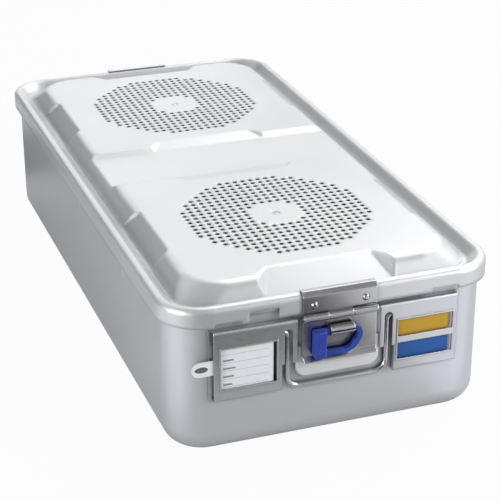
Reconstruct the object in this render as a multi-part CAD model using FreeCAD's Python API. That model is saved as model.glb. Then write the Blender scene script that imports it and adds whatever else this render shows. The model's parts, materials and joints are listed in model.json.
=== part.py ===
"""Full-size sterilization container: tub, vented lid, end latches, handles, labels and filters.

Millimetres, +Z up. X runs across the width and Y along the length. The origin is the middle
of the bottom, on the surface that the container stands on. The front end, with the label
holder, the tag holder and the seal, faces -Y. The back end is the front end's latch and
handle turned half a turn round Z.
"""
import FreeCAD, Part
import math
import os
from FreeCAD import Vector

# Lid
lid_length = 588.0
lid_width = 288.0
lid_corner = 38.0
lid_sheet = 1.5
rim_top = 135.0
rim_round = 4.5
rim_inner_inset = 7.0
band_height = 16.5
gutter_depth = 7.5
gutter_wall_inset = 14.5
gutter_foot_inset = 17.5
gutter_foot_corner = 26.0
plateau_rise = 14.0
plateau_inset = 29.5
plateau_corner = 36.0
plateau_round = 13.0

# Valley across the lid and the ramps pressed into the plateau edges
valley_depth = 3.5
valley_slope_run = 6.0
valley_ramp_run = 17.4
ramp_half_top = 46.0
ramp_half_foot = 55.0
ramp_flare = 0.9
end_ramp_inset = 46.0
side_ramp_inset = 34.0
side_ramp_half_top = 41.0
side_ramp_half_foot = 45.0

# Vented fields in the lid, each column of holes run together into one slot
field_margin = 13.8
hole_diameter = 3.4
hole_rows = 22
field_reach = 11.2
blank_reach = 3.2

# Cut-outs in the lower edge of the lid's band
relief_end = 1.5
relief_length = 23.5
relief_height = 2.6
notch_start = 2.0
notch_length = 25.0
notch_height = 8.5

# Tub
tub_gap = 5.5
tub_sheet = 2.0
tub_corner = 34.0
tub_bottom_round = 18.0
flange_width = 2.8
flange_sheet = 2.0
dimple_y = -144.7
dimple_drop = 22.1
dimple_radius = 5.5
dimple_height = 1.3

# Gasket under the lid's rim
gasket_width = 3.6
gasket_height = 7.5
gasket_side_gap = 1.1
gasket_seat_gap = 0.25

# End latches
seat_gap = 0.1
leaf_half = 32.0
leaf_sheet = 1.5
leaf_crest_inset = 6.4
hinge_drop = 3.5
barrel_radius = 3.0
pin_radius = 1.4
running_gap = 0.06
knuckle_half = 10.3
knuckle_gap = 0.5
flap_length = 39.5
flap_taper = 1.0
lip_reach = 4.0
leaf_rivet_side = 9.8
leaf_rivet_up = 6.7
rivet_radius = 1.6
rivet_head_radius = 3.2
rivet_head_height = 1.5
rivet_tail_height = 0.9
rivet_hole_gap = 0.05

# Eye on the flap and the seal through it
eye_out = 5.4
eye_drop = 12.3
eye_radius = 4.2
eye_bore = 2.3
eye_slit = 1.3
seal_bar_radius = 1.9
seal_end_gap = 0.5
seal_block_width = 9.8
seal_block_depth = 9.0
seal_block_height = 23.5
seal_back_gap = 0.8
seal_band_width = 3.8
seal_band_depth = 4.0
seal_overhang = 7.3
seal_round = 1.2

# Catch plate behind the flap
catch_side = 4.5
catch_lap = 13.5
catch_height = 28.8
catch_raise = 4.6
catch_sheet = 1.2
catch_corner = 10.0
catch_round = 2.5
catch_flange_gap = 3.0
catch_nose_half = 9.0
catch_nose_height = 3.5
catch_rivet_side = 10.5
catch_rivet_down = 6.0
bead_depth = 0.4
bead_height = 1.8
bead_up = 0.6

# Wire handle
wire_radius = 2.0
handle_side = 11.2
handle_drop = 50.5
handle_corner = 10.0
handle_bend = 4.2
handle_wall_gap = 0.5
handle_pin_length = 5.0
pin_relief_gap = 1.0

# Holders and brackets that carry the handle
holder_sheet = 1.0
holder_front = 0.6
holder_height = 62.5
holder_band_gap = 4.0
holder_round = 3.0
window_lip = 1.3
window_lip_rise = 0.8
holder_side = 5.8
label_overhang = 2.0
bracket_width = 15.0
pivot_down = 11.0
ear_width = 7.2
ear_height = 38.5
ear_slot_width = 7.2
back_margin = 3.0
holder_rivet_up = 6.0
holder_rivet_inset = 7.0
bracket_rivet_pitch = 30.0

# Label card and colour tags
window_foot = 10.6
window_head = 16.1
label_window_near = 4.5
label_window_side = 6.0
tag_window_near = 2.8
tag_window_side = 3.9
tag_window_height = 15.0
tag_bar_height = 5.8
card_sheet = 1.0
card_gap = 0.2
card_lap = 1.4
card_short = 2.5
card_end_gap = 0.5
card_tab_length = 18.0
card_tab_up = 13.9
card_tab_height = 13.0
tag_gap = 0.3
tag_short = 3.0

# Filters held under each vented field
retainer_side_gap = 14.0
retainer_end_gap = 3.6
filter_sheet = 0.8
filter_bore = 11.0
filter_seat_gap = 0.3
filter_side_gap = 1.5
retainer_sheet = 1.2
retainer_rim = 3.3
retainer_seal_width = 4.0
retainer_seal_gap = 0.3
retainer_web = 5.0
retainer_hub_radius = 26.0
retainer_window_margin = 12.0
retainer_windows = 8
retainer_bore = 6.0
knob_radius = 15.0
knob_height = 8.0
knob_wing = 2.2
knob_neck_gap = 0.08
knob_flange = 8.5
knob_flange_height = 1.0
knob_gap = 0.15
stud_radius = 3.0
stud_length = 17.0
stud_taper = 0.7
stud_neck_radius = 1.8
stud_head_radius = 2.7
stud_sink = 1.0
stud_collar_radius = 4.5
stud_collar_height = 0.9
stud_bore_gap = 0.09

# Lid and tub, worked out from the sizes above
margin = 2.0
lid_x = lid_width / 2
lid_y = lid_length / 2
band_bottom = rim_top - band_height
gutter_floor = rim_top - gutter_depth
plateau_top = gutter_floor + plateau_rise
underside = plateau_top - lid_sheet
tub_x = lid_x - tub_gap
tub_y = lid_y - tub_gap
tub_flat_x = tub_x - tub_corner
tub_top = rim_top - lid_sheet - gasket_seat_gap - gasket_height
wall_out = -tub_gap

# Filters and the vented fields above them, which fill the flat part of the lid
retainer_radius = lid_x - side_ramp_inset - retainer_side_gap
filter_radius = retainer_radius - retainer_sheet - retainer_seal_gap - retainer_seal_width - filter_side_gap
field_y = lid_y - end_ramp_inset - retainer_radius - retainer_end_gap
hole_pitch = (retainer_radius - field_margin) / field_reach
valley_floor = plateau_top - valley_depth
valley_ramp_reach = field_y - retainer_radius
valley_floor_half = valley_ramp_reach - valley_ramp_run
valley_top_half = valley_floor_half + valley_slope_run

# Latch, downwards from the band
hinge_z = band_bottom - hinge_drop
flap_bottom = hinge_z - flap_length
eye_z = hinge_z - eye_drop
eye_half = knuckle_half
catch_half = leaf_half + catch_side
catch_top = flap_bottom + catch_lap
catch_bottom = catch_top - catch_height
catch_flange_top = hinge_z - catch_flange_gap
seal_reach = eye_half + seal_overhang

# Holders and handle, outwards from the latch
handle_leg_x = leaf_half + handle_side
holder_inner_x = handle_leg_x + holder_side
ear_x = handle_leg_x - ear_width
label_outer_x = tub_flat_x + label_overhang
tag_outer_x = tub_flat_x
bracket_outer_x = holder_inner_x + bracket_width
handle_pin_reach = holder_inner_x + handle_pin_length
holder_top = band_bottom - holder_band_gap
holder_bottom = holder_top - holder_height
ear_bottom = holder_top - ear_height
handle_pivot_z = holder_top - pivot_down
handle_bottom = handle_pivot_z - handle_drop
window_bottom = holder_bottom + window_foot
window_top = holder_top - window_head
label_window_inner = holder_inner_x + label_window_near
label_window_outer = label_outer_x - label_window_side
tag_window_inner = holder_inner_x + tag_window_near
tag_window_outer = tag_outer_x - tag_window_side
tag_bar_bottom = window_bottom + tag_window_height
tag_bar_top = tag_bar_bottom + tag_bar_height


def front(out):
    """Y of a plane that lies out in front of the lid's front face."""
    return -(lid_y + out)


def block(x0, x1, out0, out1, z0, z1):
    """Box at the front end, between two distances out from the lid's front face."""
    low_y = min(front(out0), front(out1))
    size_y = abs(out1 - out0)
    return Part.makeBox(x1 - x0, size_y, z1 - z0, Vector(x0, low_y, z0))


def rod_x(radius, x0, x1, out, z):
    """Round bar along X at the front end."""
    return Part.makeCylinder(radius, x1 - x0, Vector(x0, front(out), z), Vector(1, 0, 0))


def rod_y(radius, x, out0, out1, z):
    """Round bar along Y at the front end, from out0 outwards to out1."""
    return Part.makeCylinder(radius, out1 - out0, Vector(x, front(out0), z), Vector(0, -1, 0))


def disc(radius, bottom, top, y=0.0):
    """Upright round bar or disc on the lid's centre line."""
    return Part.makeCylinder(radius, top - bottom, Vector(0, y, bottom))


def bent_strip(points, x0, x1):
    """Profile of (out, z) points at the front end, drawn from x0 to x1."""
    corners = [Vector(x0, front(out), z) for out, z in points]
    face = Part.Face(Part.makePolygon(corners + corners[:1]))
    return face.extrude(Vector(x1 - x0, 0, 0))


def other_side(shape):
    """The same piece on the other side of the centre line."""
    return shape.mirror(Vector(0, 0, 0), Vector(1, 0, 0))


def at_back(shape):
    """The front end's piece, turned half a turn to the back end."""
    turned = shape.copy()
    turned.rotate(Vector(0, 0, 0), Vector(0, 0, 1), 180)
    return turned


def edges_at(shape, test):
    """Edges whose ends all pass a test."""
    return [edge for edge in shape.Edges if all(test(v.Point) for v in edge.Vertexes)]


def rounded_outline(half_x, half_y, radius, z):
    """Closed outline of a rounded rectangle round the Z axis."""
    centre_x = half_x - radius
    centre_y = half_y - radius
    corners = [(centre_x, centre_y), (-centre_x, centre_y), (-centre_x, -centre_y), (centre_x, -centre_y)]
    edges = []
    for turn, (x, y) in enumerate(corners):
        start = 90 * turn
        edges.append(Part.makeCircle(radius, Vector(x, y, z), Vector(0, 0, 1), start, start + 90))
        next_x, next_y = corners[(turn + 1) % 4]
        step = radius * Vector(math.cos(math.radians(start + 90)), math.sin(math.radians(start + 90)), 0)
        edges.append(Part.makeLine(Vector(x, y, z) + step, Vector(next_x, next_y, z) + step))
    return Part.Wire(edges)


def slab(half_x, half_y, radius, bottom, top):
    """Upright prism on a rounded rectangle."""
    return Part.Face(rounded_outline(half_x, half_y, radius, bottom)).extrude(Vector(0, 0, top - bottom))


def slanted(lower, upper):
    """Solid with straight slanting sides between two outlines."""
    return Part.makeLoft([lower, upper], True, True)


def shift_for(slope, sheet):
    """Sideways step of a slanted wall set in by a sheet; slope is sideways run over rise."""
    return sheet * math.hypot(1, slope)


def gutter_void(sheet):
    """Space inside the rim, down to the floor of the gutter."""
    slope = (gutter_wall_inset - rim_inner_inset) / (rim_top - gutter_floor)
    outlines = []
    for z in (gutter_floor - sheet, rim_top + margin):
        inset = rim_inner_inset + (rim_top - z) * slope - shift_for(slope, sheet)
        outlines.append(rounded_outline(lid_x - inset, lid_y - inset, lid_corner - inset, z))
    return slanted(*outlines)


def ramp_cut(foot, top, beyond, half_foot, half_top, foot_z, sheet):
    """Wedge that presses a ramp into a plateau edge that faces +Y, with ends that flare outwards."""
    rise = plateau_top - foot_z
    slope = (foot - top) / rise
    taper = (half_foot - half_top) / rise
    across = slope * ramp_flare - taper
    end_step = sheet * math.sqrt(1 + ramp_flare ** 2 + across ** 2)
    rings = []
    for z in (foot_z - sheet, plateau_top + margin):
        up = z - foot_z
        y = foot - up * slope - shift_for(slope, sheet)
        half = half_foot - up * taper + end_step - ramp_flare * shift_for(slope, sheet)
        wide = half + ramp_flare * (beyond - y)
        corners = [Vector(-half, y, z), Vector(half, y, z), Vector(wide, beyond, z), Vector(-wide, beyond, z)]
        rings.append(Part.makePolygon(corners + corners[:1]))
    return slanted(*rings)


def placed(shape, angle, y):
    """Turn a shape round Z, then slide it along the centre line."""
    moved = shape.copy()
    moved.rotate(Vector(0, 0, 0), Vector(0, 0, 1), angle)
    moved.translate(Vector(0, y, 0))
    return moved


def valley_cut(sheet):
    """Shallow trough across the middle of the lid."""
    rise = plateau_top - valley_floor
    slope = (valley_top_half - valley_floor_half) / rise
    low = valley_floor_half - sheet * slope + shift_for(slope, sheet)
    high = valley_floor_half + (rise + margin) * slope + shift_for(slope, sheet)
    profile = [(-low, valley_floor - sheet), (low, valley_floor - sheet)]
    profile += [(high, plateau_top + margin), (-high, plateau_top + margin)]
    corners = [Vector(-lid_x, y, z) for y, z in profile]
    face = Part.Face(Part.makePolygon(corners + corners[:1]))
    return face.extrude(Vector(lid_width, 0, 0))


def plateau_core(sheet):
    """Raised middle of the lid, with its valley and its edge ramps."""
    slope = (plateau_inset - gutter_foot_inset) / (plateau_top - gutter_floor)
    turn_in = (plateau_corner - gutter_foot_corner) / (plateau_top - gutter_floor)
    outlines = []
    for z in (gutter_floor - sheet - margin / 2, plateau_top - sheet):
        up = z - gutter_floor
        inset = gutter_foot_inset + up * slope + shift_for(slope, sheet)
        corner = gutter_foot_corner + up * turn_in - shift_for(slope, sheet)
        outlines.append(rounded_outline(lid_x - inset, lid_y - inset, corner, z))
    core = slanted(*outlines)
    top_edges = edges_at(core, lambda p: abs(p.z - (plateau_top - sheet)) < 0.01)
    core = core.makeFillet(plateau_round - sheet, top_edges)
    end = ramp_cut(lid_y - gutter_foot_inset, lid_y - end_ramp_inset, lid_y, ramp_half_foot,
                   ramp_half_top, gutter_floor, sheet)
    side = ramp_cut(lid_x - gutter_foot_inset, lid_x - side_ramp_inset, lid_x, side_ramp_half_foot,
                    side_ramp_half_top, gutter_floor, sheet)
    inner = ramp_cut(-valley_floor_half, -valley_ramp_reach, 0.0, ramp_half_foot, ramp_half_top,
                     valley_floor, sheet)
    cuts = [valley_cut(sheet)]
    for angle in (0, 180):
        cuts.append(placed(end, angle, 0))
        cuts.append(placed(inner, angle, 0))
        for y in (-field_y, field_y):
            cuts.append(placed(side, angle + 90, y))
    return core.cut(cuts)


def lid_form(sheet):
    """Outer form of the pressed lid, or its underside when set in by the sheet."""
    low = band_bottom - margin * sheet
    rim = slab(lid_x - sheet, lid_y - sheet, lid_corner - sheet, low, rim_top - sheet)
    crest = edges_at(rim, lambda p: abs(p.z - (rim_top - sheet)) < 0.01)
    rim = rim.makeFillet(rim_round - sheet, crest)
    return rim.cut(gutter_void(sheet)).fuse(plateau_core(sheet))


def column_spans(column):
    """Stretches of holes along one column of a vented field, in pitches from its centre."""
    rows = [row + 0.5 - hole_rows / 2 for row in range(hole_rows)]
    kept = [row for row in rows if blank_reach < math.hypot(column, row) < field_reach]
    spans = []
    for row in kept:
        if spans and row - spans[-1][1] < 1.5:
            spans[-1][1] = row
        else:
            spans.append([row, row])
    return spans


def field_slots():
    """Slots of one vented field, centred on the Z axis."""
    slots = []
    for index in range(hole_rows):
        column = index + 0.5 - hole_rows / 2
        for first, last in column_spans(column):
            length = (last - first) * hole_pitch + hole_diameter
            corner = Vector(column * hole_pitch - hole_diameter / 2, first * hole_pitch - hole_diameter / 2,
                            underside - margin)
            slots.append(Part.makeBox(hole_diameter, length, lid_sheet + 2 * margin, corner))
    return Part.makeCompound(slots)


def band_cuts():
    """Reliefs over the holders and the notch beside the latch, at the front."""
    depth = lid_sheet + margin
    low = band_bottom - margin
    relief_x = label_outer_x - relief_end
    relief = block(relief_x - relief_length, relief_x, -depth, margin, low, band_bottom + relief_height)
    notch_x = holder_inner_x + notch_start
    notch = block(-notch_x - notch_length, -notch_x, -depth, margin, low, band_bottom + notch_height)
    return Part.makeCompound([relief, other_side(relief), notch])


def rivet_holes_y(places, out0, out1):
    """Clearance holes for rivets that run along Y at the front end."""
    radius = rivet_radius + rivet_hole_gap
    return [rod_y(radius, x, out0, out1, z) for x, z in places]


def make_lid():
    """Pressed lid with its rim, gutter, raised vented fields and band."""
    lid = lid_form(0).cut(lid_form(lid_sheet))
    slots = field_slots()
    hole_radius = stud_neck_radius + rivet_hole_gap
    stud_hole = disc(hole_radius, underside - margin, plateau_top).fuse(
        Part.makeCone(hole_radius, stud_head_radius + rivet_hole_gap, stud_sink,
                      Vector(0, 0, plateau_top - stud_sink)))
    cuts = [band_cuts(), at_back(band_cuts())]
    for y in (-field_y, field_y):
        cuts.append(placed(slots, 0, y))
        cuts.append(placed(stud_hole, 0, y))
    holes = rivet_holes_y(leaf_rivet_places(), -lid_sheet - margin, margin)
    cuts += holes + [at_back(hole) for hole in holes]
    return lid.cut(cuts)


def make_gasket():
    """Ring of rubber that seals the tub's flange under the lid's rim."""
    outer = lid_sheet + gasket_side_gap
    inner = outer + gasket_width
    low = tub_top
    high = tub_top + gasket_height
    ring = slab(lid_x - outer, lid_y - outer, lid_corner - outer, low, high)
    corner = edges_at(ring, lambda p: abs(p.z - high) < 0.01)
    ring = ring.makeFillet(rim_round - lid_sheet - gasket_seat_gap, corner)
    return ring.cut(slab(lid_x - inner, lid_y - inner, lid_corner - inner, low - margin, high + margin))


def make_tub():
    """Deep-drawn tub with a turned-out flange."""
    outer = slab(tub_x, tub_y, tub_corner, 0, tub_top)
    outer = outer.makeFillet(tub_bottom_round, edges_at(outer, lambda p: p.z < 0.01))
    flange = slab(tub_x + flange_width, tub_y + flange_width, tub_corner + flange_width,
                  tub_top - flange_sheet, tub_top)
    inside = slab(tub_x - tub_sheet, tub_y - tub_sheet, tub_corner - tub_sheet, tub_sheet, tub_top + margin)
    floor = edges_at(inside, lambda p: p.z < tub_sheet + 0.01)
    inside = inside.makeFillet(tub_bottom_round - tub_sheet, floor)
    tub = outer.fuse(flange).cut(inside).cut(dimple(tub_sheet)).fuse(dimple(0).cut(dimple(tub_sheet)))
    holes = rivet_holes_y(front_rivet_places(), wall_out - tub_sheet - margin, wall_out + margin)
    back = rivet_holes_y(back_rivet_places(), wall_out - tub_sheet - margin, wall_out + margin)
    return tub.cut(holes + [at_back(hole) for hole in back]).removeSplitter()


def dimple(sheet):
    """Small round bulge pressed out of the left wall, set in by a sheet."""
    ball = (dimple_radius ** 2 + dimple_height ** 2) / (2 * dimple_height)
    dimple_z = tub_top - dimple_drop
    centre = Vector(-tub_x - dimple_height + ball, dimple_y, dimple_z)
    cap = Part.makeSphere(ball - sheet, centre)
    reach = Part.makeBox(tub_sheet + dimple_height, 2 * dimple_radius, 2 * dimple_radius,
                         Vector(-tub_x - dimple_height, dimple_y - dimple_radius, dimple_z - dimple_radius))
    return cap.common(reach)


def leaf_rivet_places():
    """Centres of the two rivets through the latch leaf."""
    x = leaf_half - leaf_rivet_side
    z = band_bottom + leaf_rivet_up
    return [(-x, z), (x, z)]


def make_leaf():
    """Hinge leaf that hooks over the lid's rim and carries the middle knuckle."""
    near = seat_gap
    far = seat_gap + leaf_sheet
    centre_sum = rim_top - 2 * rim_round
    near_sum = centre_sum + (rim_round + near) * math.sqrt(2)
    far_sum = centre_sum + (rim_round + far) * math.sqrt(2)
    low = hinge_z + barrel_radius + knuckle_gap
    upper = [(near, low), (near, near_sum - near), (near_sum - rim_top - near, rim_top + near)]
    upper += [(-leaf_crest_inset, rim_top + near), (-leaf_crest_inset, rim_top + far)]
    upper += [(far_sum - rim_top - far, rim_top + far), (far, far_sum - far), (far, low)]
    plate = bent_strip(upper, -leaf_half, leaf_half)
    tongue = block(-knuckle_half, knuckle_half, near, far, hinge_z, low)
    barrel = rod_x(barrel_radius, -knuckle_half, knuckle_half, near + barrel_radius, hinge_z)
    leaf = plate.fuse([tongue, barrel])
    bore = rod_x(pin_radius + running_gap, -knuckle_half, knuckle_half, near + barrel_radius, hinge_z)
    return leaf.cut([bore] + rivet_holes_y(leaf_rivet_places(), -margin, margin + far)).removeSplitter()


def rivet(x, z, inner, outer):
    """Rivet along Y through sheets between two planes, with a tapered head outside."""
    shank = rod_y(rivet_radius, x, inner, outer, z)
    tail = rod_y(rivet_head_radius, x, inner - rivet_tail_height, inner, z)
    crown = rivet_head_radius - rivet_head_height
    seat = Vector(x, front(outer), z)
    head = Part.makeCone(rivet_head_radius, crown, rivet_head_height, seat, Vector(0, -1, 0))
    return shank.fuse([tail, head]).removeSplitter()


def make_leaf_rivets():
    """Two rivets through the leaf and the lid's band."""
    return Part.makeCompound([rivet(x, z, -lid_sheet, seat_gap + leaf_sheet) for x, z in leaf_rivet_places()])


def make_hinge_pin():
    """Hinge pin through all three knuckles."""
    return rod_x(pin_radius, -leaf_half, leaf_half, seat_gap + barrel_radius, hinge_z)


def make_flap():
    """Latch flap: two knuckles, a tapered plate, a finger lip and the eye for the seal."""
    near = seat_gap
    far = seat_gap + leaf_sheet
    lip_top = flap_bottom + lip_reach
    step = leaf_sheet * (math.sqrt(2) - 1)
    profile = [(near, hinge_z), (far, hinge_z), (far, lip_top + step), (far + lip_reach, flap_bottom + step)]
    profile += [(far + lip_reach - leaf_sheet / math.sqrt(2), flap_bottom + step - leaf_sheet / math.sqrt(2))]
    profile += [(near, lip_top)]
    plate = bent_strip(profile, -leaf_half, leaf_half)
    relief = barrel_radius + knuckle_gap
    middle = knuckle_half + knuckle_gap
    notch = block(-middle, middle, -margin, 3 * barrel_radius, hinge_z - relief, hinge_z + relief)
    low = flap_bottom - margin
    corners = [(leaf_half, lip_top), (leaf_half + margin, lip_top), (leaf_half + margin, low)]
    points = [Vector(x, front(-margin), z) for x, z in corners + [(leaf_half - flap_taper, low)]]
    taper = Part.Face(Part.makePolygon(points + points[:1])).extrude(Vector(0, -lip_reach * 3, 0))
    knuckles = [rod_x(barrel_radius, middle, leaf_half, near + barrel_radius, hinge_z)]
    knuckles.append(other_side(knuckles[0]))
    bead_foot = catch_top + bead_up
    bead_top = bead_foot + bead_height
    bead = block(-catch_nose_half, catch_nose_half, near - bead_depth, far, bead_foot, bead_top)
    eye = rod_x(eye_radius, -eye_half, eye_half, eye_out, eye_z)
    bore = rod_x(pin_radius + running_gap, -leaf_half, leaf_half, near + barrel_radius, hinge_z)
    eye_hole = rod_x(eye_bore, -eye_half, eye_half, eye_out, eye_z)
    slit = block(-eye_half, eye_half, eye_out, eye_out + eye_radius + margin, eye_z - eye_slit / 2,
                 eye_z + eye_slit / 2)
    flap = plate.cut([notch, taper, other_side(taper)]).fuse(knuckles + [eye, bead])
    return flap.cut([bore, eye_hole, slit]).removeSplitter()


def make_seal():
    """Plastic seal: a block, a bar through the eye and a curved band back to the block."""
    right = -eye_half - seal_end_gap - seal_band_depth
    back = seat_gap + leaf_sheet + seal_back_gap
    top = eye_z + seal_bar_radius
    bottom = top - seal_block_height
    body = block(right - seal_block_width, right, back, back + seal_block_depth, bottom, top)
    body = body.makeFillet(seal_round, edges_at(body, lambda p: p.x < right + 0.01))
    half = seal_band_depth / 2
    shoulder = block(right - margin, -eye_half - seal_end_gap, eye_out - half, eye_out + half,
                     eye_z - seal_band_width, top)
    bar = rod_x(seal_bar_radius, -eye_half - seal_end_gap, eye_half + seal_end_gap + 1.0, eye_out, eye_z)
    return body.fuse([shoulder, bar, seal_band(right - margin, bottom)]).removeSplitter()


def seal_band(block_x, bottom):
    """Curved band of the seal, drawn as a flat outline and given its depth."""
    wide = seal_band_width
    start = eye_half + seal_end_gap
    top = eye_z + wide / 2
    reach = seal_reach
    drop = top - bottom
    outer = [(start, top), (reach, top - drop * 0.28), (reach * 0.89, top - drop * 0.6)]
    outer += [(reach * 0.55, bottom + drop * 0.1), (0.0, bottom)]
    inner = [(0.0, bottom + wide), (reach * 0.38, bottom + wide * 1.36), (reach * 0.61, top - drop * 0.54)]
    inner += [(reach - wide, top - drop * 0.34), (start, top - wide)]

    def point(place):
        return Vector(place[0], front(eye_out - seal_band_depth / 2), place[1])

    def curve(places):
        first = Part.Arc(point(places[0]), point(places[1]), point(places[2])).toShape()
        second = Part.Arc(point(places[2]), point(places[3]), point(places[4])).toShape()
        return [first, second]

    tail = [(0.0, bottom), (block_x, bottom), (block_x, bottom + wide), (0.0, bottom + wide)]
    edges = curve(outer)
    edges += [Part.makeLine(point(tail[i]), point(tail[i + 1])) for i in range(3)]
    edges += curve(inner)
    edges.append(Part.makeLine(point(inner[-1]), point(outer[0])))
    return Part.Face(Part.Wire(edges)).extrude(Vector(0, -seal_band_depth, 0))


def make_catch_plate():
    """Pressed catch plate on the tub's end wall, with a nose for the flap."""
    back = wall_out + seat_gap
    outer_face = back + catch_raise
    pillow = pillow_form(catch_half, catch_bottom, catch_top, back, outer_face, catch_corner, catch_round)
    hollow = pillow_form(catch_half - catch_sheet, catch_bottom + catch_sheet, catch_top - catch_sheet,
                         back - margin, outer_face - catch_sheet, catch_corner - catch_sheet,
                         catch_round - catch_sheet)
    flange = block(-leaf_half, leaf_half, back, back + catch_sheet, catch_top - catch_sheet, catch_flange_top)
    nose = block(-catch_nose_half, catch_nose_half, back, outer_face, catch_top + catch_nose_height,
                 catch_top + 2 * catch_nose_height)
    nose_edges = edges_at(nose, lambda p: p.y < front(outer_face) + 0.01)
    nose = nose.makeFillet(catch_nose_height * 0.4, nose_edges)
    plate = pillow.cut(hollow).fuse([flange, nose])
    return plate.cut(rivet_holes_y(catch_rivet_places(), wall_out - margin, back + margin)).removeSplitter()


def pillow_form(half, bottom, top, out0, out1, corner, edge_round):
    """Upright cushion-shaped raised panel with rounded lower corners and a rounded front edge."""
    form = block(-half, half, out0, out1, bottom, top)
    along_y = [edge for edge in form.Edges if edge.BoundBox.YLength > out1 - out0 - 0.01]
    form = form.makeFillet(corner, [edge for edge in along_y if edge.BoundBox.ZMax < bottom + 0.01])
    rim = edges_at(form, lambda p: p.y < front(out1) + 0.01)
    return form.makeFillet(edge_round, rim)


def catch_rivet_places():
    """Rivets through the top of the catch plate."""
    x = catch_half - catch_rivet_side
    z = catch_flange_top - catch_rivet_down
    return [(-x, z), (x, z)]


def holder_rivet_places(outer_x, side):
    """Two rivets through the back plate of a holder."""
    near = side * (holder_inner_x + holder_rivet_inset)
    far = side * (outer_x - holder_rivet_inset)
    z = holder_bottom + holder_rivet_up
    return [(near, z), (far, z)]


def bracket_rivet_places():
    """Two rivets, one over the other, through the back plate of the right-hand bracket."""
    x = (holder_inner_x + bracket_outer_x) / 2
    z = holder_bottom + holder_rivet_up
    return [(x, z), (x, z + bracket_rivet_pitch)]


def front_rivet_places():
    """All rivets through the tub's front wall."""
    places = catch_rivet_places()
    places += holder_rivet_places(label_outer_x, -1)
    places += holder_rivet_places(tag_outer_x, 1)
    return places


def back_rivet_places():
    """All rivets through the tub's back wall, before the half turn."""
    right = bracket_rivet_places()
    return catch_rivet_places() + right + [(-x, z) for x, z in right]


def make_wall_rivets(places, seat):
    """Low rivets through the tub's wall and a plate that ends at a seat plane."""
    return Part.makeCompound([rivet(x, z, wall_out - tub_sheet, seat) for x, z in places])


def rolled_top(shape, out, top, radius):
    """Rounds the edge where a piece's front face meets its top."""
    edge = edges_at(shape, lambda p: p.y < front(out) + 0.01 and p.z > top - 0.01)
    return shape.makeFillet(radius, edge)


def window_rim(windows):
    """Raised and rounded lip round a holder's windows and along the bars between them."""
    low_x = min(window[0] for window in windows) - window_lip
    high_x = max(window[1] for window in windows) + window_lip
    low_z = min(window[2] for window in windows) - window_lip
    high_z = max(window[3] for window in windows) + window_lip
    crest = holder_front + window_lip_rise
    rim = block(low_x, high_x, holder_front - holder_sheet, crest, low_z, high_z)
    rim = rim.cut([block(x0, x1, -margin, crest + margin, z0, z1) for x0, x1, z0, z1 in windows])
    return rim.makeFillet(window_lip_rise * 0.6, edges_at(rim, lambda p: p.y < front(crest) + 0.01))


def holder(outer_x, windows, rivets):
    """Folded sheet holder on the right: pocket open at its outer end, ear and handle slot."""
    back = wall_out + seat_gap
    body = block(ear_x, outer_x, back, holder_front, holder_bottom, holder_top)
    body = rolled_top(body, holder_front, holder_top, holder_round)
    sheet = holder_sheet
    low_edges = edges_at(body, lambda p: p.y < front(holder_front) + 0.01 and p.z < holder_bottom + 0.01)
    body = body.makeFillet(2 * sheet, low_edges)
    inside = block(holder_inner_x + sheet, outer_x + margin, back + sheet, holder_front - sheet,
                   holder_bottom + sheet, holder_top - sheet)
    inside = rolled_top(inside, holder_front - sheet, holder_top - sheet, holder_round - sheet)
    ear_space = block(ear_x - margin, holder_inner_x, back - margin, holder_front - sheet,
                      holder_bottom - margin, holder_top - sheet)
    ear_space = rolled_top(ear_space, holder_front - sheet, holder_top - sheet, holder_round - sheet)
    below_ear = block(ear_x - margin, holder_inner_x, back - margin, holder_front + margin,
                      holder_bottom - margin, ear_bottom)
    slot_half = ear_slot_width / 2
    slot_top = handle_pivot_z
    slot = block(handle_leg_x - slot_half, handle_leg_x + slot_half, back, holder_front + margin,
                 ear_bottom - margin, slot_top)
    slot_round = rod_y(slot_half, handle_leg_x, back, holder_front + margin, slot_top)
    pivot = rod_x(wire_radius + running_gap, holder_inner_x - margin, holder_inner_x + sheet + margin,
                  handle_out(), handle_pivot_z)
    relief = wire_radius + pin_relief_gap
    pin_relief = block(holder_inner_x + sheet, handle_pin_reach + pin_relief_gap, back - margin,
                       back + sheet + margin, handle_pivot_z - relief, handle_pivot_z + relief)
    cuts = [inside, ear_space, below_ear, slot, slot_round, pivot, pin_relief]
    cuts += [block(x0, x1, -margin, holder_front + margin, z0, z1) for x0, x1, z0, z1 in windows]
    cuts += rivet_holes_y(rivets, back - margin, back + sheet + margin / 2)
    end = outer_x + back_margin
    margin_plate = block(outer_x - margin, end, back, back + sheet, holder_bottom, holder_top)
    added = [margin_plate]
    if windows:
        added.append(window_rim(windows))
    return body.cut(cuts).fuse(added).removeSplitter()


def handle_out():
    """Distance out of the handle's wire, so that it hangs just clear of the wall."""
    return wall_out + handle_wall_gap + wire_radius


def make_label_frame():
    """Holder on the left with one window for the label card."""
    windows = [(label_window_inner, label_window_outer, window_bottom, window_top)]
    return other_side(holder(label_outer_x, windows, holder_rivet_places(label_outer_x, 1)))


def make_tag_frame():
    """Holder on the right with two windows for the colour tags."""
    windows = [(tag_window_inner, tag_window_outer, window_bottom, tag_bar_bottom)]
    windows.append((tag_window_inner, tag_window_outer, tag_bar_top, window_top))
    return holder(tag_outer_x, windows, holder_rivet_places(tag_outer_x, 1))


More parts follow.
